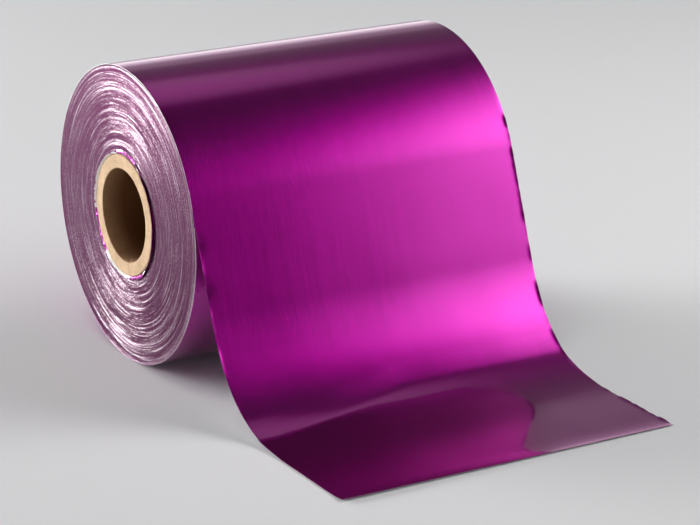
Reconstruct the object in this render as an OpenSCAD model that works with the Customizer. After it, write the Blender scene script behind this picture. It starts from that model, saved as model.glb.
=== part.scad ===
// Roll of lacquered aluminium foil on a card core, lying on its side, with its loose end out on the floor.
// The origin is the centre of the core's bore. +X runs along the bore and +Z is up.
// The loose end comes over the top and down the -Y side.

/* [Strip] */
// Width of the foil strip, which is the length of the winding
strip_w = 127; // [60:1:300]
// Outer diameter of the winding
roll_d = 105.4; // [84:0.2:130]
// Thickness that the loose end is drawn with
sheet_t = 0.2; // [0.1:0.05:0.4]
// Width of the flat that the roll's own weight presses into its underside
flat_spot_w = 8; // [2:0.5:14]

/* [Core] */
// Diameter of the core's bore
core_bore_d = 33; // [20:0.5:37]
// Thickness of the card wall
core_wall = 4.9; // [2:0.1:7]
// How far the core stands out past each end of the winding
core_proud = 0.7; // [0:0.1:4]
// Chamfer on the core's cut edges
core_chamfer = 0.4; // [0.1:0.1:0.9]
// Radial slack between the core and the first turn
core_fit = 0.05; // [0.02:0.01:0.2]

/* [Loose end] */
// Slope of the sheet where it leaves the winding, in degrees below level
leave_slope = 69.5; // [60:0.5:80]
// Radius of the first, slack bend under the straight drop
upper_bend_r = 81; // [40:1:110]
// Slope of the sheet after the first bend
upper_bend_slope = 57; // [45:1:59]
// Radius of the tight bend that turns the sheet outwards
middle_bend_r = 39.5; // [20:0.5:60]
// Slope of the sheet after the tight bend
middle_bend_slope = 14; // [5:1:25]
// Radius of the last bend, which brings the sheet level
lower_bend_r = 69; // [30:1:110]
// Length of foil that lies flat on the floor
lay_len = 37.5; // [10:0.5:120]
// Height by which the cut end curls up off the floor
end_curl = 0.5; // [0:0.1:1.5]
// Length over which the cut end curls up
end_curl_len = 9; // [4:0.5:9.5]

/* [Edge crimps] */
// Width of the crimped band along each edge of the loose end
crimp_band = 2; // [1:0.5:6]
// How far the crimps stand off the sheet
crimp_h = 0.4; // [0:0.05:0.8]
// Length of one crimp along the edge
crimp_pitch = 9; // [6:0.5:20]

/* [Turn edges] */
// Ridges that the edges of the turns make across each end
turn_ridges = 12; // [6:1:24]
// Depth of the deepest groove between the ridges
turn_relief = 0.35; // [0.05:0.05:0.8]
// Width of the level ring round the core, where the first turns lie even
even_ring_w = 1.4; // [1.1:0.1:4]

/* [First turns] */
// Lowest height of the crumpled collar that the first turns make round the core
collar_min_h = 0.9; // [0.3:0.1:3]
// Further height of the collar at its crests
collar_crest_h = 0.9; // [0.2:0.1:3]
// Thickness of the collar's wall
collar_t = 0.3; // [0.15:0.05:0.6]
// How far the collar's rim leans outwards at most
collar_lean = 0.7; // [0:0.1:2]
// Depth to which the collar's foot is set in the winding
collar_foot = 0.8; // [0.3:0.1:3]

/* [Hidden] */
$fn = 96;
core_r = core_bore_d / 2 + core_wall;
core_len = strip_w + 2 * core_proud;
roll_r = roll_d / 2;
eye_r = core_r + core_fit;
// Height of the floor, which the pressed flat and the loose end both lie on
floor_z = -sqrt(pow(roll_r, 2) - pow(flat_spot_w / 2, 2));
// Depth by which the sheet's outer face starts inside the winding, so that the two are one solid
root_sink = 0.02;
// Radial film of winding left between the collar's foot and the eye
collar_film = 0.08;
collar_steps = 48;
// Longest step from one row of the loose end's points to the next
row_step = 2.25;
// Length past a face by which a cutting block runs
overrun = 5;
// Starts of the waves at each end, in degrees, so that no two crumples match
left_phase = 200;
right_phase = 40;

// Side view of the loose end, as points [y, z] on the sheet's outer face
function heading(slope) = [-cos(slope), -sin(slope)];
function towards_centre(slope) = [-sin(slope), cos(slope)];
function bend_drop(r, from, to) = r * (cos(to) - cos(from));
function bend_len(r, from, to) = r * (from - to) * PI / 180;
function bend_point(start, r, from, to) = start + r * (towards_centre(from) - towards_centre(to));
leave_point = (roll_r - root_sink) * towards_centre(leave_slope);
bends_drop = bend_drop(upper_bend_r, leave_slope, upper_bend_slope)
    + bend_drop(middle_bend_r, upper_bend_slope, middle_bend_slope)
    + bend_drop(lower_bend_r, middle_bend_slope, 0);
// The straight drop is as long as it takes for the sheet to land on the floor
drop_len = (leave_point.y - floor_z - sheet_t - bends_drop) / sin(leave_slope);
upper_start = leave_point + drop_len * heading(leave_slope);
middle_start = bend_point(upper_start, upper_bend_r, leave_slope, upper_bend_slope);
lower_start = bend_point(middle_start, middle_bend_r, upper_bend_slope, middle_bend_slope);
lay_start = bend_point(lower_start, lower_bend_r, middle_bend_slope, 0);

// Lengths along the sheet, from the winding to the end of each stretch
upper_at = drop_len;
middle_at = upper_at + bend_len(upper_bend_r, leave_slope, upper_bend_slope);
lower_at = middle_at + bend_len(middle_bend_r, upper_bend_slope, middle_bend_slope);
lay_at = lower_at + bend_len(lower_bend_r, middle_bend_slope, 0);
end_at = lay_at + lay_len;

function slope_at(s) =
    lookup(s, [
        [upper_at, leave_slope], [middle_at, upper_bend_slope], [lower_at, middle_bend_slope], [lay_at, 0]]);
function point_at(s) =
    s <= upper_at ? leave_point + s * heading(leave_slope)
    : s <= middle_at ? bend_point(upper_start, upper_bend_r, leave_slope, slope_at(s))
    : s <= lower_at ? bend_point(middle_start, middle_bend_r, upper_bend_slope, slope_at(s))
    : s <= lay_at ? bend_point(lower_start, lower_bend_r, middle_bend_slope, slope_at(s))
    : lay_start + (s - lay_at) * heading(0);
function curl_at(s) = end_curl * pow(max(0, 1 - (end_at - s) / end_curl_len), 2);

// How far an edge stands off the sheet. The crimps fade in below the winding and swing both ways,
// but where the sheet nears the floor they only lift.
function crimp_at(s, phase) =
    let (
        swing = sin(360 * s / crimp_pitch + phase + 40 * sin(97 * s / crimp_pitch)),
        fade = min(1, s / upper_at),
        landed = max(0, min(1, (s - middle_at) / (lower_at - middle_at))))
    crimp_h * fade * ((1 - landed) * 0.7 * swing + landed * (0.5 + 0.5 * swing));

// A number from 0 to 1 that wanders with i, for what is uneven by nature
function wander(i, phase) = 0.5 + 0.3 * sin(137.5 * i + phase) + 0.2 * sin(61 * i + 2 * phase);

// Outline of one end of the winding, as [radius, height], from the eye to the rim.
// Odd points are grooves between ridges, and the spacing is uneven.
function ridge_radius(i, phase) =
    let (first = eye_r + even_ring_w, pitch = (roll_r - first) / (2 * turn_ridges))
    first + pitch * (i + 0.35 * (wander(i, phase) - 0.5));
function ridge_height(i, phase) =
    strip_w / 2 - turn_relief * (i % 2 == 1 ? 0.45 + 0.55 * wander(i, phase) : 0.35 * wander(i, phase + 90));
function end_outline(phase) = concat(
    [[eye_r, strip_w / 2], [eye_r + even_ring_w, strip_w / 2]],
    [for (i = [1:2 * turn_ridges - 1]) [ridge_radius(i, phase), ridge_height(i, phase)]],
    [[roll_r, strip_w / 2]]);
function flipped(points) = [for (i = [len(points) - 1:-1:0]) [points[i].x, -points[i].y]];

// What is drawn in the side view, with x for Y and y for Z, is turned to lie across the roll
module across() {
    rotate([90, 0, 90]) children();
}

// Card tube with chamfered ends
module core() {
    inner = core_bore_d / 2;
    half = core_len / 2;
    color([0.86, 0.71, 0.54])
        across() rotate_extrude() polygon([
            [inner + core_chamfer, half], [core_r - core_chamfer, half], [core_r, half - core_chamfer],
            [core_r, core_chamfer - half], [core_r - core_chamfer, -half], [inner + core_chamfer, -half],
            [inner, core_chamfer - half], [inner, half - core_chamfer]]);
}

// All the turns as one solid, with the pressed flat cut off its underside
module winding() {
    difference() {
        rotate_extrude() polygon(concat(end_outline(right_phase), flipped(end_outline(left_phase))));
        translate([-flat_spot_w, floor_z - overrun, -strip_w / 2 - overrun])
            cube([2 * flat_spot_w, overrun, strip_w + 2 * overrun]);
    }
}

// Faces of a closed grid of points whose rows run on and whose columns run round it
function tube_faces(rows, columns) = [for (i = [0:rows - 2]) for (j = [0:columns - 1]) for (half = [0, 1])
    let (a = i * columns + j, b = i * columns + (j + 1) % columns, c = a + columns, d = b + columns)
    half == 0 ? [a, b, d] : [a, d, c]];

// The sheet as one bent strip, from where it leaves the winding to its cut end on the floor.
// Each row of points runs across the outer face and back across the underside.
module loose_end() {
    rows = ceil(end_at / row_step);
    half = strip_w / 2;
    across_points = [
        -half, crimp_band / 2 - half, crimp_band - half,
        half - crimp_band, half - crimp_band / 2, half];
    crimp_share = [1, 0.3, 0, 0, 0.3, 1];
    count = len(across_points);
    function stand_off(s, j) =
        curl_at(s) + crimp_share[j] * crimp_at(s, j < count / 2 ? left_phase : right_phase);
    function sheet_point(s, j, depth) =
        let (p = point_at(s) + (stand_off(s, j) - depth) * towards_centre(slope_at(s)))
        [p.x, p.y, across_points[j]];
    sheet_points = [for (i = [0:rows]) let (s = end_at * i / rows) for (k = [0:2 * count - 1])
        k < count ? sheet_point(s, k, 0) : sheet_point(s, 2 * count - 1 - k, sheet_t)];
    // Each quad of a cut end joins two points of the outer face to the two under them
    function end_quad(first, j) =
        [first + j, first + j + 1, first + 2 * count - 2 - j, first + 2 * count - 1 - j];
    function turned(face) = [for (k = [len(face) - 1:-1:0]) face[k]];
    root_faces = [for (j = [0:count - 2]) turned(end_quad(0, j))];
    cut_faces = [for (j = [0:count - 2]) end_quad(rows * 2 * count, j)];
    polyhedron(points = sheet_points, faces = concat(tube_faces(rows + 1, 2 * count), root_faces, cut_faces));
}

// Crumpled collar where the first turns stand out round the core, with its foot set in the winding.
// Each step round it has six points: foot, waist and rim inside, then rim, waist and foot outside.
module collar(phase) {
    r = eye_r + collar_film;
    function rim_h(a) =
        collar_min_h + collar_crest_h * (0.5 + 0.3 * sin(3 * a + phase) + 0.2 * sin(11 * a + 2 * phase));
    function rim_lean(a) = collar_lean * (0.5 + 0.3 * sin(2 * a + 3 * phase) + 0.2 * sin(13 * a + phase));
    function waist_lean(a) = rim_lean(a) * (0.35 + 0.25 * sin(17 * a + phase));
    function section(a) = [
        [r, -collar_foot], [r + waist_lean(a), 0.55 * rim_h(a)], [r + rim_lean(a), rim_h(a)],
        [r + rim_lean(a) + collar_t, rim_h(a)], [r + waist_lean(a) + collar_t, 0.55 * rim_h(a)],
        [r + collar_t, -collar_foot]];
    sections = [for (k = [0:collar_steps - 1]) section(360 * k / collar_steps)];
    ring_points = [for (k = [0:collar_steps - 1]) for (p = sections[k])
        [p.x * cos(360 * k / collar_steps), p.x * sin(360 * k / collar_steps), strip_w / 2 + p.y]];
    function corner(k, j) = 6 * (k % collar_steps) + j % 6;
    ring_faces = [for (k = [0:collar_steps - 1]) for (j = [0:5]) for (half = [0, 1])
        half == 0 ? [corner(k, j), corner(k + 1, j + 1), corner(k, j + 1)]
            : [corner(k, j), corner(k + 1, j), corner(k + 1, j + 1)]];
    polyhedron(points = ring_points, faces = ring_faces);
}

// One strip of foil: the winding, the collars of its first turns and its loose end
module foil() {
    color([0.55, 0.08, 0.5])
        across() {
            winding();
            loose_end();
            collar(right_phase);
            mirror([0, 0, 1]) collar(left_phase);
        }
}

core();
foil();
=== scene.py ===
from collections import namedtuple
import math

import bpy
from mathutils import Matrix, Vector, noise


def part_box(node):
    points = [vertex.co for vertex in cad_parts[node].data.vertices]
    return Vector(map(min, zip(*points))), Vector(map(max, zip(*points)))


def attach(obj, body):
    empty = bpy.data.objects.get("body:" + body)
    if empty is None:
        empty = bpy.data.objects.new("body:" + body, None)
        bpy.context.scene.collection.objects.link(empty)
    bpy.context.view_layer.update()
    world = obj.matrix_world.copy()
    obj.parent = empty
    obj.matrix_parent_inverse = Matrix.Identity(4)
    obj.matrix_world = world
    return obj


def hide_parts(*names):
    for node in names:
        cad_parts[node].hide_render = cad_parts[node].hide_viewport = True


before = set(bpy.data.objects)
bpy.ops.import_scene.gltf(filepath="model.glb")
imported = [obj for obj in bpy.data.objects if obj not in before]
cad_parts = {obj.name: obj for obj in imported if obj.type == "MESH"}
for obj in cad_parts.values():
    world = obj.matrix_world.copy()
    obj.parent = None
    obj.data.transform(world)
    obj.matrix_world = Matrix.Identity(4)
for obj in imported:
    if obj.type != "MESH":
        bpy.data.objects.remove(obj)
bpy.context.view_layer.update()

# All lengths are metres, in the frame of the part: the origin is the middle of the bore, +X runs along it
# and +Z is up. The loose end comes over the top of the roll and down its -Y side.
MM = 0.001
foil_low, foil_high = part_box("foil")
core_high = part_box("core")[1]

# The roll. The eye is the opening of the winding, which the core fills.
strip_w = 127 * MM
roll_r = foil_high.z
floor_z = foil_low.z
core_r = core_high.z
core_half = core_high.x
bore_r = 16.5 * MM
eye_gap = 0.05 * MM
eye_r = core_r + eye_gap
foil_t = 0.09 * MM

# The last turn goes once round the roll, and its start is tucked in just under where the sheet leaves
tuck = math.radians(10)
turn_len = (2 * math.pi - tuck) * roll_r
turn_step = 1.2 * foil_t
turns_under = 2.4 * foil_t

# The loose end, as on the part: a straight drop, three bends and a stretch that lies on the floor
leave_slope = math.radians(69.5)
upper_bend_r, upper_slope = 81 * MM, math.radians(57)
middle_bend_r, middle_slope = 39.5 * MM, math.radians(14)
lower_bend_r = 69 * MM
lay_len = 37.5 * MM
sheet_lift = 0.2 * MM
landing_len = 18 * MM
end_curl = 0.55 * MM
end_curl_len = 11 * MM


# Route of the strip in the side view. s runs along the foil, from where it leaves the roll.

Stretch = namedtuple("Stretch", "at first_slope last_slope length point")


def heading(slope):
    return Vector((0, -math.cos(slope), -math.sin(slope)))


def towards_centre(slope):
    return Vector((0, -math.sin(slope), math.cos(slope)))


def bend_drop(r, start, end):
    return r * (math.cos(end) - math.cos(start))


leave_point = roll_r * towards_centre(leave_slope)
all_bends_drop = (
    bend_drop(upper_bend_r, leave_slope, upper_slope)
    + bend_drop(middle_bend_r, upper_slope, middle_slope)
    + bend_drop(lower_bend_r, middle_slope, 0)
)
drop_len = (leave_point.z - floor_z - sheet_lift - all_bends_drop) / math.sin(leave_slope)


def stretches():
    """The loose end's stretches in order, each from its first point, and the length of them all."""
    parts = []
    at, point = 0.0, leave_point
    for start, end, r in (
        (leave_slope, leave_slope, None),
        (leave_slope, upper_slope, upper_bend_r),
        (upper_slope, middle_slope, middle_bend_r),
        (middle_slope, 0.0, lower_bend_r),
        (0.0, 0.0, None),
    ):
        if r is None:
            length = drop_len if start else lay_len
            after = point + length * heading(start)
        else:
            length = r * (start - end)
            after = point + r * (towards_centre(start) - towards_centre(end))
        parts.append(Stretch(at, start, end, length, point))
        at, point = at + length, after
    return parts, at


loose_parts, loose_len = stretches()
lower_bend, lay = loose_parts[-2:]


def side_view(s):
    """The point on the foil's outer face at s, and the slope there."""
    if s <= 0:
        slope = leave_slope + s / roll_r
        return (roll_r + turn_step * s / turn_len) * towards_centre(slope), slope
    for part in reversed(loose_parts):
        if s >= part.at:
            break
    if part.first_slope == part.last_slope:
        return part.point + (s - part.at) * heading(part.first_slope), part.first_slope
    slope = part.first_slope + (part.last_slope - part.first_slope) * (s - part.at) / part.length
    r = part.length / (part.first_slope - part.last_slope)
    return part.point + r * (towards_centre(part.first_slope) - towards_centre(slope)), slope


# Modelling helpers

def deselect_all():
    bpy.ops.object.select_all(action="DESELECT")


def work_on(piece):
    """Makes piece the one selected and active object."""
    deselect_all()
    piece.select_set(True)
    bpy.context.view_layer.objects.active = piece


def named(name):
    """Names the object that was just added."""
    piece = bpy.context.active_object
    piece.name = name
    piece.data.name = name
    return piece


def place_in_mesh(piece):
    """Moves the object's place, turn and scale into its mesh."""
    work_on(piece)
    bpy.ops.object.transform_apply(location=True, rotation=True, scale=True)


def apply_modifiers(piece):
    work_on(piece)
    for modifier in list(piece.modifiers):
        bpy.ops.object.modifier_apply(modifier=modifier.name)


def turned_piece(name, outline, steps):
    """A piece turned on the lathe: a closed outline of points (x, radius) spun once round the X axis."""
    deselect_all()
    bpy.ops.mesh.primitive_plane_add(size=MM)
    piece = named(name)
    bpy.ops.object.mode_set(mode="EDIT")
    bpy.ops.mesh.select_all(action="SELECT")
    bpy.ops.mesh.merge(type="CENTER")
    first_x, first_r = outline[0]
    bpy.ops.transform.translate(value=(first_x, 0, first_r))
    for (x, r), (was_x, was_r) in zip(outline[1:] + outline[:1], outline):
        bpy.ops.mesh.extrude_region_move(TRANSFORM_OT_translate={"value": (x - was_x, 0, r - was_r)})
    bpy.ops.mesh.select_all(action="SELECT")
    bpy.ops.mesh.spin(steps=steps, angle=2 * math.pi, center=(0, 0, 0), axis=(1, 0, 0))
    bpy.ops.mesh.select_all(action="SELECT")
    bpy.ops.mesh.remove_doubles(threshold=0.002 * MM)
    bpy.ops.mesh.normals_make_consistent(inside=False)
    bpy.ops.object.mode_set(mode="OBJECT")
    return piece


def shade_smooth(piece, degrees=40):
    """Shades all edges smooth but those that turn by more than this."""
    work_on(piece)
    bpy.ops.object.shade_smooth_by_angle(angle=math.radians(degrees))


def wander(*place):
    """Smooth noise from -1 to 1 at a place given in any units."""
    return noise.noise(Vector((*place, 0, 0)[:3]))


def clamped(number):
    return min(1.0, max(0.0, number))


# Shader helpers

class Value:
    """A number that runs through a shader. Python's operators on it add Math nodes."""

    def __init__(self, nodes, socket):
        self.nodes = nodes
        self.socket = socket

    def math(self, operation, *others):
        out = self.nodes.node("ShaderNodeMath", {"operation": operation}, dict(enumerate((self, *others))))
        return Value(self.nodes, out.outputs[0])

    def __add__(self, other):
        return self.math("ADD", other)

    __radd__ = __add__

    def __mul__(self, other):
        return self.math("MULTIPLY", other)

    __rmul__ = __mul__

    def __sub__(self, other):
        return self.math("SUBTRACT", other)

    def __rsub__(self, other):
        return (self * -1.0) + other

    def __truediv__(self, other):
        return self.math("DIVIDE", other)

    def __pow__(self, other):
        return self.math("POWER", other)

    def clamped(self, low=0.0, high=1.0):
        return self.math("MINIMUM", high).math("MAXIMUM", low)

    def between(self, low, high):
        """0 below low, 1 above high and straight in between."""
        return ((self - low) / (high - low)).clamped()


class Nodes:
    """A node tree and the means to add nodes to it."""

    def __init__(self, tree):
        self.tree = tree

    def node(self, kind, settings=None, inputs=None):
        """Adds a node, with its settings first and then its sockets. A ramp's stops are (place, grey)."""
        made = self.tree.nodes.new(kind)
        for name, setting in (settings or {}).items():
            if name == "stops":
                self.set_stops(made.color_ramp, setting)
            else:
                setattr(made, name, setting)
        for key, given in (inputs or {}).items():
            self.feed(made.inputs[key], given)
        return made

    def set_stops(self, ramp, stops):
        """Gives a new ramp, which has two stops, these ones instead."""
        for _ in stops[2:]:
            ramp.elements.new(0.5)
        for element, (at, grey) in zip(ramp.elements, stops):
            element.position = at
            element.color = rgb(grey, grey, grey)

    def feed(self, socket, given):
        """Links a value, colour or socket to socket, or sets a plain number or colour on it."""
        given = getattr(given, "socket", given)
        if isinstance(given, bpy.types.NodeSocket):
            self.tree.links.new(given, socket)
        else:
            socket.default_value = given

    def split(self, vector):
        """The three numbers of a vector socket."""
        made = self.node("ShaderNodeSeparateXYZ", inputs={0: vector})
        return [Value(self, made.outputs[axis]) for axis in range(3)]

    def place(self):
        """The three object coordinates, in metres."""
        return self.split(self.node("ShaderNodeTexCoord").outputs["Object"])

    def strip_place(self):
        """Distance across and along the strip, in metres, from its own UV map."""
        across, along, _ = self.split(self.node("ShaderNodeUVMap").outputs[0])
        return across * strip_w, along * (turn_len + loose_len) - turn_len

    def vector(self, x, y, z):
        return self.node("ShaderNodeCombineXYZ", inputs={0: x, 1: y, 2: z}).outputs[0]

    def noise(self, x, y, z, detail=2.0, roughness=0.5):
        """Noise from 0 to 1, with grains about one unit of its coordinates long."""
        made = self.node(
            "ShaderNodeTexNoise",
            {"noise_dimensions": "3D"},
            {"Vector": self.vector(x, y, z), "Scale": 1.0, "Detail": detail, "Roughness": roughness},
        )
        return Value(self, made.outputs[0])

    def blend(self, factor, a, b):
        """Colour a where factor is 0 and b where it is 1."""
        return self.node("ShaderNodeMix", {"data_type": "RGBA"}, {0: factor, 6: a, 7: b}).outputs[2]

    def leaned(self, x, y, z):
        """The surface's normal, leaned by a small vector."""
        normal = self.node("ShaderNodeNewGeometry").outputs["Normal"]
        inputs = {0: normal, 1: self.vector(x, y, z)}
        leaned = self.node("ShaderNodeVectorMath", {"operation": "ADD"}, inputs).outputs[0]
        return self.node("ShaderNodeVectorMath", {"operation": "NORMALIZE"}, {0: leaned}).outputs[0]

    def bump(self, height, distance, strength=1.0, normal=None):
        """The surface's normal, or the one given, over a relief this deep."""
        inputs = {"Height": height, "Distance": distance, "Strength": strength}
        if normal is not None:
            inputs["Normal"] = normal
        return self.node("ShaderNodeBump", inputs=inputs).outputs[0]


class Finish(Nodes):
    """A material with one Principled shader."""

    def __init__(self, name):
        self.material = bpy.data.materials.new(name)
        self.material.use_nodes = True
        super().__init__(self.material.node_tree)
        self.shader = self.tree.nodes["Principled BSDF"]

    def set(self, **inputs):
        for name, given in inputs.items():
            self.feed(self.shader.inputs[name.replace("_", " ")], given)


def rgb(red, green, blue):
    return (red, green, blue, 1.0)


# Finishes. A noise's coordinates are divided by the size of its grains.

def lacquered_foil():
    """Rolled aluminium under a clear purple lacquer, with the fine streaks of the rolling along the strip."""
    finish = Finish("purple_lacquered_foil")
    across, along = finish.strip_place()
    hairlines = finish.noise(across / (0.08 * MM), along / (5 * MM), 0.0, detail=1.0)
    streaks = finish.noise(across / (0.6 * MM), along / (60 * MM), 3.0, detail=3.0)
    grain = finish.noise(across / (0.5 * MM), along / (0.6 * MM), 6.0)
    wide_streaks = finish.noise(across / (4 * MM), along / (150 * MM), 4.0)
    clouds = finish.noise(across / (18 * MM), along / (25 * MM), 9.0)
    tone = (0.35 * streaks + 0.65 * wide_streaks).between(0.2, 0.8)
    rolled = finish.bump(streaks + grain, 0.003 * MM)
    finish.set(
        Base_Color=finish.blend(tone, rgb(0.39, 0.001, 0.27), rgb(0.43, 0.002, 0.30)),
        Metallic=1.0,
        Roughness=0.18 + 0.06 * streaks + 0.04 * clouds,
        Coat_Weight=0.85,
        Coat_Roughness=0.04,
        Coat_IOR=1.5,
        Normal=finish.bump(hairlines, 0.008 * MM, normal=rolled),
    )
    return finish.material


def bare_foil():
    """The underside of the strip, matt silver."""
    finish = Finish("bare_foil_underside")
    across, along = finish.strip_place()
    streaks = finish.noise(across / (0.5 * MM), along / (50 * MM), 2.0, detail=3.0)
    finish.set(
        Base_Color=finish.blend(streaks, rgb(0.72, 0.71, 0.73), rgb(0.82, 0.81, 0.83)),
        Metallic=1.0,
        Roughness=0.34 + 0.1 * streaks,
        Normal=finish.bump(streaks, 0.004 * MM, 0.6),
    )
    return finish.material


def turn_edges():
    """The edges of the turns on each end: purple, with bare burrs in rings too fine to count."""
    finish = Finish("foil_turn_edges")
    x, y, z = finish.place()
    radius = (y * y + z * z) ** 0.5
    around_y, around_z = y / radius, z / radius

    def rings(width, uneven, seed, detail):
        """Noise in rings round the bore, uneven round the roll and not the same on both ends."""
        return finish.noise(
            radius / width, around_y * uneven + seed, around_z * uneven + x * 20, detail=detail,
        )

    strokes = rings(0.26 * MM, 3.0, 5.0, detail=1.0)
    lines = rings(0.5 * MM, 0.9, 2.0, detail=0.0)
    bands = rings(2.2 * MM, 0.5, 9.0, detail=1.0)
    grain = finish.noise(0.0, y / (0.5 * MM), z / (0.35 * MM), detail=1.0)
    specks = finish.noise(0.0, y / (0.06 * MM), z / (0.06 * MM), detail=0.0)
    burrs = finish.noise(40.0, y / (0.05 * MM), z / (0.05 * MM), detail=0.0)
    shift = 0.45 * (strokes - 0.5) + 0.3 * (lines - 0.5) + 0.08 * (bands - 0.5) + 0.7 * (grain - 0.5)
    bare = (0.25 * (specks - 0.5) + shift).between(0.05, 0.20)
    # Each burr leans outward or inward, seen from the middle of the roll, by up to half a radian
    which_way = ((burrs - 0.515) * 20.0).clamped(-1.0, 1.0)
    lean = which_way * (0.05 + 0.48 * bare)
    sideways = (grain - 0.5) * 0.06
    lean_y = lean * around_y - sideways * around_z
    lean_z = lean * around_z + sideways * around_y
    finish.set(
        Base_Color=finish.blend(bare, rgb(0.112, 0.005, 0.069), rgb(0.60, 0.515, 0.57)),
        Metallic=1.0,
        Roughness=0.28 + 0.05 * bare,
        Normal=finish.leaned(0.0, lean_y, lean_z),
    )
    return finish.material


def crumpled(name, dark, light, roughness, **shine):
    """Foil where it is crumpled or hidden, between two tones of one colour."""
    finish = Finish(name)
    grain = finish.noise(*(axis / (0.6 * MM) for axis in finish.place()))
    finish.set(
        Base_Color=finish.blend(grain, dark, light),
        Roughness=roughness + 0.1 * grain,
        Normal=finish.bump(grain, 0.05 * MM, 0.5),
        **shine,
    )
    return finish.material


def card():
    """Spiral wound board, pale tan and browner in the bore, with fibres, a seam and plies on its cut ends.
    Painted shade darkens the bore deeper in from each mouth.
    """
    finish = Finish("spiral_wound_card")
    x, y, z = finish.place()
    radius = (y * y + z * z) ** 0.5
    turn = y.math("ARCTAN2", z) / (2 * math.pi)
    fibres = finish.noise(x / (0.5 * MM), y / (0.5 * MM), z / (0.5 * MM), detail=4.0, roughness=0.6)
    blotches = finish.noise(x / (5 * MM), y / (5 * MM), z / (5 * MM))
    plies = finish.noise(radius / (0.32 * MM), 0.0, 0.0, detail=1.0)
    seam_turn = (x / (62 * MM) + turn).math("FRACT")
    seam = 1.0 - (seam_turn - 0.5).math("ABSOLUTE").between(0.0, 0.008)
    shade = (0.6 * fibres + 0.4 * blotches).between(0.3, 0.7)
    tan = finish.blend(shade, rgb(0.28, 0.19, 0.11), rgb(0.53, 0.37, 0.235))
    kraft_and_painted_shade = finish.blend(shade, rgb(0.20, 0.105, 0.05), rgb(0.33, 0.195, 0.10))
    # Painted shade: the bore's paper turns dark brown from 0.5 mm to 8 mm in from each mouth, as if shade
    # fell deeper in the tube
    depth = (core_half - x.math("ABSOLUTE")).between(0.5 * MM, 8 * MM)
    kraft_and_painted_shade = finish.blend(depth, kraft_and_painted_shade, rgb(0.12, 0.05, 0.017))
    in_bore = 1.0 - radius.between(bore_r + 0.05 * MM, bore_r + 0.35 * MM)
    finish.set(
        Base_Color=finish.blend(in_bore, tan, kraft_and_painted_shade),
        Roughness=0.9,
        Specular_IOR_Level=0.25,
        Normal=finish.bump(fibres + 0.6 * plies - 1.2 * seam, 0.12 * MM, 0.8),
    )
    return finish.material


# The loose end's small shapes, each as a height off the smooth sheet at x and s

def crimp_arch(s, side):
    """A row of arches of uneven length and height along an edge, each meeting the next in a crease."""
    arch_len, crease_depth = 5.6 * MM, 0.15
    place = s / arch_len + 1.2 * wander(s / (9 * MM), side * 3.7)
    count = math.floor(place)
    height = 0.5 + 1.2 * wander(count * 0.77, side * 5.3)
    return max(0.0, height) * math.sin(math.pi * (place - count)) ** 0.5 - crease_depth


def edge_crimp(x, s):
    """The edges of the loose end turn up: little on the left, more on the right and most low on the right."""
    if x > 0:
        low = clamped((s - 85 * MM) / (15 * MM))
        side, band, starts_before, height = 1, 1.3 * MM, 34 * MM, (0.26 + 0.2 * low) * MM
    else:
        side, band, starts_before, height = -1, 0.9 * MM, 4 * MM, 0.08 * MM
    inward = strip_w / 2 - abs(x)
    if inward > band:
        return 0.0
    fade = clamped((s + starts_before) / (16 * MM))
    return fade * height * crimp_arch(s, side) * (1 - inward / band) ** 1.5


def edge_dents(x, s):
    """The few deeper dents on the left edge."""
    dents_at, dent_len, dent_w, dent_depth = (15 * MM, 30 * MM), 2.6 * MM, 3.5 * MM, 0.22 * MM
    inward = (strip_w / 2 + x) / dent_w
    depth = sum(math.exp(-(((s - at) / dent_len) ** 2)) for at in dents_at)
    return -dent_depth * depth * max(0.0, 1 - inward) ** 1.5


def buckle(x, s):
    """Slow unevenness: most of it in the hanging sheet, less on the floor, and far less on the roll."""
    loose = clamped(s / (25 * MM))
    landed = clamped((s - lower_bend.at) / lower_bend.length)
    slow = wander(x / (42 * MM), s / (30 * MM), 5.1)
    quick = wander(x / (14 * MM), s / (17 * MM), 2.3)
    rolled = 0.012 * MM * wander(x / (25 * MM), s / (18 * MM), 8.8)
    hanging = 0.16 * MM * slow + 0.02 * MM * quick
    # On the floor the sheet only rises
    lying = 0.10 * MM * (slow + 0.7) + 0.05 * MM * (quick + 0.7)
    return (1 - loose) * rolled + loose * ((1 - landed) * hanging + landed * lying)


def foot_crease(x, s):
    """A soft crease across the foot of the drop, lower on the left."""
    crease_half, crease_depth = 9 * MM, 0.42 * MM
    crease_at = (75 + 13 * clamped(-x / (55 * MM))) * MM
    return -crease_depth * max(0.0, 1 - abs(s - crease_at) / crease_half) ** 1.3


def landing_lift(s):
    """Eases the last bend into the stretch on the floor, so that the curve doesn't end at once. The bend is
    lifted by what that takes, and the lift fades out up the sheet."""
    before_end = min(landing_len, max(0.0, lay.at + landing_len / 2 - s))
    eased = before_end ** 3 / (6 * landing_len)
    plain = max(0.0, before_end - landing_len / 2) ** 2 / 2
    above = clamped((lay.at - landing_len / 2 - s) / (40 * MM))
    return (eased - plain) / lower_bend_r * (1 - above * above * (3 - 2 * above))


def end_lift(x, s):
    """The cut end stands a little off the floor, most at its left corner."""
    near_end = max(0.0, 1 - (loose_len - s) / end_curl_len)
    left = 0.5 - x / strip_w
    return end_curl * (0.7 + 0.5 * left) * near_end ** 3


# Pieces

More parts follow.
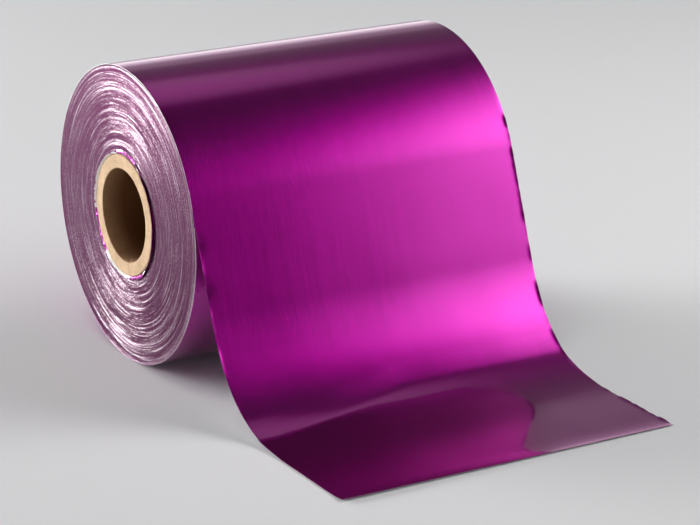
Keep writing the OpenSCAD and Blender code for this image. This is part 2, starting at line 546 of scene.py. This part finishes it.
def make_strip():
    """The last turn and the loose end, as one strip of foil."""
    faces_across, faces_along = 32, 400
    edge_cuts = (0.35 * MM, 0.7 * MM, 1.1 * MM, 1.6 * MM, 2.6 * MM)
    furthest_y = foil_low.y + 0.04 * MM
    length = turn_len + loose_len
    deselect_all()
    bpy.ops.mesh.primitive_grid_add(x_subdivisions=faces_across, y_subdivisions=faces_along, size=1.0)
    strip = named("foil_strip")
    strip.scale = (strip_w, length, 1)
    place_in_mesh(strip)
    bpy.ops.object.mode_set(mode="EDIT")
    for inward in edge_cuts:
        for side in (-1, 1):
            bpy.ops.mesh.select_all(action="SELECT")
            bpy.ops.mesh.bisect(plane_co=(side * (strip_w / 2 - inward), 0, 0), plane_no=(1, 0, 0))
    bpy.ops.object.mode_set(mode="OBJECT")
    for v in strip.data.vertices:
        x, s = v.co.x, v.co.y + length / 2 - turn_len
        point, slope = side_view(s)
        off = edge_crimp(x, s) + edge_dents(x, s) + buckle(x, s) + foot_crease(x, s)
        off += landing_lift(s) + end_lift(x, s)
        v.co = point + off * towards_centre(slope) + Vector((x, 0, 0))
        v.co.y = max(v.co.y, furthest_y)
        v.co.z = max(v.co.z, floor_z)
    work_on(strip)
    bpy.ops.object.mode_set(mode="EDIT")
    bpy.ops.mesh.select_all(action="SELECT")
    bpy.ops.mesh.flip_normals()
    bpy.ops.object.mode_set(mode="OBJECT")
    strip.data.materials.append(lacquered_foil())
    strip.data.materials.append(bare_foil())
    wall = strip.modifiers.new("wall", "SOLIDIFY")
    wall.thickness = foil_t
    wall.offset = -1
    wall.material_offset = 1
    wall.material_offset_rim = 0
    apply_modifiers(strip)
    # The two long edges of the last turn are bare metal
    for face in strip.data.polygons:
        spot = face.center
        if abs(face.normal.x) > 0.7 and math.hypot(spot.y, spot.z) < roll_r + 0.1 * MM:
            face.material_index = 1
    shade_smooth(strip)
    return strip


def turn_edge_depth(side, r, angle):
    """How far the edges of the turns stand back from the end plane at a radius and an angle."""
    cy, cz = math.cos(angle), math.sin(angle)
    fine = wander(r / (0.55 * MM) + 31 * side, 0.8 * cy, 0.8 * cz)
    broad = wander(r / (5 * MM) + 11 * side, 0.5 * cy, 0.5 * cz)
    return (0.10 + 0.006 * fine + 0.02 * broad) * MM


def make_winding(edges, lacquer):
    """All the turns under the last one. Its ends carry the uneven edges of the turns."""
    rings, steps_round = 108, 180
    outer_r = roll_r - turns_under
    radii = [eye_r + (outer_r - eye_r) * i / rings for i in range(rings + 1)]
    half = strip_w / 2
    outline = [(-half, r) for r in radii] + [(half, r) for r in reversed(radii)]
    winding = turned_piece("foil_winding", outline, steps_round)
    for v in winding.data.vertices:
        side = 1 if v.co.x > 0 else -1
        r = math.hypot(v.co.y, v.co.z)
        depth = turn_edge_depth(side, r, math.atan2(v.co.z, v.co.y))
        v.co.x -= side * depth * min(1.0, (outer_r - r) / (0.4 * MM) + 0.25)
        v.co.z = max(v.co.z, floor_z + foil_t)
    winding.data.materials.append(edges)
    winding.data.materials.append(lacquer)
    for face in winding.data.polygons:
        spot = face.center
        if abs(face.normal.x) < 0.5 and math.hypot(spot.y, spot.z) > (roll_r + eye_r) / 2:
            face.material_index = 1
    shade_smooth(winding, 60)
    return winding


def make_collar(name, side, flaps, lacquer, bare):
    """The first turns, crumpled where they stand out round the core. Each flap is folded outward and shows
    the lacquered side. It is given as its angle and half its width, in degrees."""
    points_round, levels = 240, 9
    reach, wall_t = 2.2 * MM, 0.07 * MM
    fold_at = 0.45
    base_r = eye_r + 0.13 * MM
    base_x = strip_w / 2 - 0.5 * MM
    highest_x = foil_high.x - 0.06 * MM
    deselect_all()
    bpy.ops.mesh.primitive_circle_add(
        vertices=points_round, radius=base_r, location=(side * base_x, 0, 0), rotation=(0, math.pi / 2, 0),
    )
    collar = named(name)
    place_in_mesh(collar)
    bpy.ops.object.mode_set(mode="EDIT")
    bpy.ops.mesh.select_all(action="SELECT")
    for _ in range(levels):
        bpy.ops.mesh.extrude_edges_move(TRANSFORM_OT_translate={"value": (side * reach / levels, 0, 0)})
    bpy.ops.object.mode_set(mode="OBJECT")

    def fold(y, z):
        """1 in the middle of a flap and 0 outside it, with a ragged border."""
        angle = math.degrees(math.atan2(z, y)) + 7 * wander(250 * y, 250 * z, side)
        away = (abs((angle - at + 180) % 360 - 180) / half for at, half in flaps)
        return clamped(2 - 2 * min(away))

    for v in collar.data.vertices:
        y, z = v.co.y / base_r, v.co.z / base_r
        up = (abs(v.co.x) - base_x) / reach
        tall = 0.70 + 0.08 * y + 0.1 * wander(3.1 * y + side, 3.1 * z, 1.0)
        creases = wander(13 * y + side, 13 * z, 1.2 * up)
        fine = wander(34 * y, 34 * z + side, 3 * up)
        flap = fold(v.co.y, v.co.z)
        over = max(0.0, up - fold_at) / (1 - fold_at)
        out = (0.45 + 0.9 * flap) * over ** 1.3 * MM
        out += up * ((0.14 + 0.3 * flap) * creases + 0.12 * fine) * MM
        height = reach * up * (tall + 0.12 * fine)
        height -= flap * reach * (0.34 + 0.25 * creases) * over ** 1.5
        v.co.x = side * min(base_x + height, highest_x)
        r = base_r + max(out, -0.02 * MM)
        v.co.y, v.co.z = r * y, r * z
    collar.data.materials.append(lacquer)
    collar.data.materials.append(bare)
    work_on(collar)
    bpy.ops.object.mode_set(mode="EDIT")
    bpy.ops.mesh.select_all(action="SELECT")
    bpy.ops.mesh.normals_make_consistent(inside=False)
    bpy.ops.object.mode_set(mode="OBJECT")
    wall = collar.modifiers.new("wall", "SOLIDIFY")
    wall.thickness = wall_t
    wall.offset = -1
    apply_modifiers(collar)
    # The lacquered side faces outward, and it shows on the inside too where a flap is folded over
    for face in collar.data.polygons:
        spot = face.center
        outward = Vector((0, spot.y, spot.z)).dot(face.normal) > 0
        ragged = 0.7 * wander(520 * spot.y, 520 * spot.z, 700 * spot.x)
        folded = fold(spot.y, spot.z) + ragged + 300 * (abs(spot.x) - base_x) - 0.3 > 0.55
        face.material_index = 0 if outward or folded else 1
    shade_smooth(collar, 60)
    return collar


def make_core():
    """The card tube, with its cut ends softly rounded and worn a little uneven."""
    soft, corner_steps, plies, steps_round = 0.45 * MM, 5, 14, 160
    quarter = [math.pi / 2 * k / corner_steps for k in range(corner_steps + 1)]
    corner = [(soft * (1 - math.sin(a)), soft * (1 - math.cos(a))) for a in quarter]
    end = [(core_half - inset_x, bore_r + inset_r) for inset_r, inset_x in reversed(corner)]
    for i in range(1, plies):
        r = bore_r + soft + (core_r - bore_r - 2 * soft) * i / plies
        end.append((core_half - 0.03 * MM * (i % 2), r))
    end += [(core_half - inset_x, core_r - inset_r) for inset_r, inset_x in corner]
    outline = [(-x, r) for x, r in end] + [(x, r) for x, r in reversed(end)]
    tube = turned_piece("card_core", outline, steps_round)
    for v in tube.data.vertices:
        if abs(v.co.x) > core_half - 2 * soft:
            angle = math.atan2(v.co.z, v.co.y)
            cy, cz = math.cos(angle), math.sin(angle)
            v.co.x -= math.copysign(0.05 * MM * (1 + wander(5 * cy, 5 * cz, v.co.x * 300)), v.co.x)
    tube.data.materials.append(card())
    shade_smooth(tube, 50)
    return tube


# Camera, as fitted to the photograph's outlines

def look(position, yaw_deg, pitch_deg, roll_deg):
    """Where a camera stands and how it is turned. Yaw 0 looks along +Y, and positive yaw turns to +X."""
    yaw, pitch, roll = (math.radians(a) for a in (yaw_deg, pitch_deg, roll_deg))
    forward = Vector((math.sin(yaw) * math.cos(pitch), math.cos(yaw) * math.cos(pitch), math.sin(pitch)))
    right = Vector((math.cos(yaw), -math.sin(yaw), 0))
    up = right.cross(forward)
    right, up = (math.cos(roll) * right + math.sin(roll) * up, math.cos(roll) * up - math.sin(roll) * right)
    turn = Matrix((right, up, -forward)).transposed().to_4x4()
    return Matrix.Translation(position) @ turn


def add_camera():
    focal_px, image_px, sensor_mm = 2872.1, 700, 36
    deselect_all()
    bpy.ops.object.camera_add()
    camera = bpy.context.active_object
    camera.name = "camera"
    camera.matrix_world = look(Vector((-478.6, -854.6, 299.0)) * MM, 30.60, -18.455, 0.15)
    camera.data.sensor_width = sensor_mm
    camera.data.lens = focal_px * sensor_mm / image_px
    camera.data.clip_start = 0.01
    bpy.context.scene.camera = camera


def add_softbox(name, position, half_size, radiance, target=(0, 0, 0), spin_deg=0.0, crisp=2.0):
    """A lit panel that faces target and fades out past half its size each way, faster if crisp is high."""
    half_width, half_height = half_size
    margin = 1.5
    deselect_all()
    bpy.ops.object.light_add(type="AREA", location=position)
    lamp = bpy.context.active_object
    lamp.name = name
    facing = (Vector(target) - Vector(position)).to_track_quat("-Z", "Y")
    lamp.rotation_euler = (facing.to_matrix() @ Matrix.Rotation(math.radians(spin_deg), 3, "Z")).to_euler()
    lamp.data.shape = "RECTANGLE"
    lamp.data.size, lamp.data.size_y = 2 * margin * half_width, 2 * margin * half_height
    half_spread = math.radians(70)
    lamp.data.spread = 2 * half_spread
    # A narrower beam is brighter along its middle, so the power comes down by as much
    narrowed = 1 - half_spread / math.tan(half_spread)
    lamp.data.energy = 4 * lamp.data.size * lamp.data.size_y * radiance * narrowed
    lamp.data.use_nodes = True
    nodes = Nodes(lamp.data.node_tree)
    spot = nodes.split(nodes.node("ShaderNodeNewGeometry").outputs["Parametric"])
    across, up = ((share - 0.5) * (2 * margin) for share in spot[:2])
    reach = (across * across + up * up) ** crisp
    nodes.feed(nodes.tree.nodes["Emission"].inputs["Strength"], (reach * -1.0).math("EXPONENT"))


def add_world():
    """Plain grey surroundings, light near the horizon, dark above, and dimmer on the camera's side."""
    greys_by_height = (
        (0.0, 1.0), (0.08, 1.0), (0.17, 0.6), (0.27, 0.10), (0.5, 0.12), (0.7, 0.12), (1.0, 0.05),
    )
    near_strength, added_at_back = 0.55, 0.85
    world = bpy.data.worlds.new("studio")
    bpy.context.scene.world = world
    world.use_nodes = True
    nodes = Nodes(world.node_tree)
    _, back, height = nodes.split(nodes.node("ShaderNodeTexCoord").outputs["Generated"])
    ramp = nodes.node("ShaderNodeValToRGB", {"stops": greys_by_height}, {0: height})
    background = world.node_tree.nodes["Background"]
    nodes.feed(background.inputs["Color"], ramp.outputs[0])
    nodes.feed(background.inputs["Strength"], back.between(-0.6, 0.9) * added_at_back + near_strength)


def add_floor():
    floor_size, floor_gap = 6, 0.02 * MM
    deselect_all()
    bpy.ops.mesh.primitive_plane_add(size=floor_size, location=(0, 0, floor_z - floor_gap))
    floor = named("floor")
    place_in_mesh(floor)
    finish = Finish("pale_floor")
    finish.set(Base_Color=rgb(0.61, 0.61, 0.62), Roughness=0.9, Specular_IOR_Level=0.0)
    floor.data.materials.append(finish.material)


add_camera()
add_world()
add_floor()
add_softbox("key_softbox", (0.79, -0.385, 0.49), (0.58, 0.31), 5.5, target=(0, -0.06, -0.03), spin_deg=24.7)
add_softbox("backdrop_panel", (0.33, 1.87, 0.69), (1.28, 0.33), 0.17, crisp=5.0)
add_softbox("high_back_panel", (0.574, 0.819, 1.732), (0.55, 0.55), 0.33, crisp=4.0)
add_softbox("low_left_softbox", (-0.95, 1.14, 0.18), (0.5, 0.25), 41.0)
add_softbox("high_left_softbox", (-0.45, 0.0, 1.45), (0.3, 0.3), 5.0)
add_softbox("front_left_fill", (-0.35, -1.4, 0.25), (0.5, 0.3), 1.7)

crumpled_lacquer = crumpled(
    "purple_foil_crumpled", rgb(0.24, 0.002, 0.18), rgb(0.36, 0.006, 0.28), roughness=0.25,
    Metallic=1.0, Coat_Weight=1.0, Coat_Roughness=0.06,
)
crumpled_bare = crumpled(
    "silver_foil_crumpled", rgb(0.92, 0.91, 0.92), rgb(0.97, 0.97, 0.97), roughness=0.42, Metallic=0.4,
)
left_flaps = ((97, 32), (-30, 30), (-112, 24))
right_flaps = ((60, 30), (165, 25), (-70, 35))
foil_pieces = (
    make_strip(),
    make_collar("foil_collar_left", -1, left_flaps, crumpled_lacquer, crumpled_bare),
    make_collar("foil_collar_right", 1, right_flaps, crumpled_lacquer, crumpled_bare),
    make_winding(turn_edges(), crumpled_lacquer),
)
deselect_all()
for piece in foil_pieces:
    piece.select_set(True)
bpy.ops.object.join()
foil = named("aluminium_foil")
core = make_core()

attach(foil, "root")
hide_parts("foil")
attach(core, "root")
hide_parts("core")

bpy.context.scene.view_settings.view_transform = "Standard"
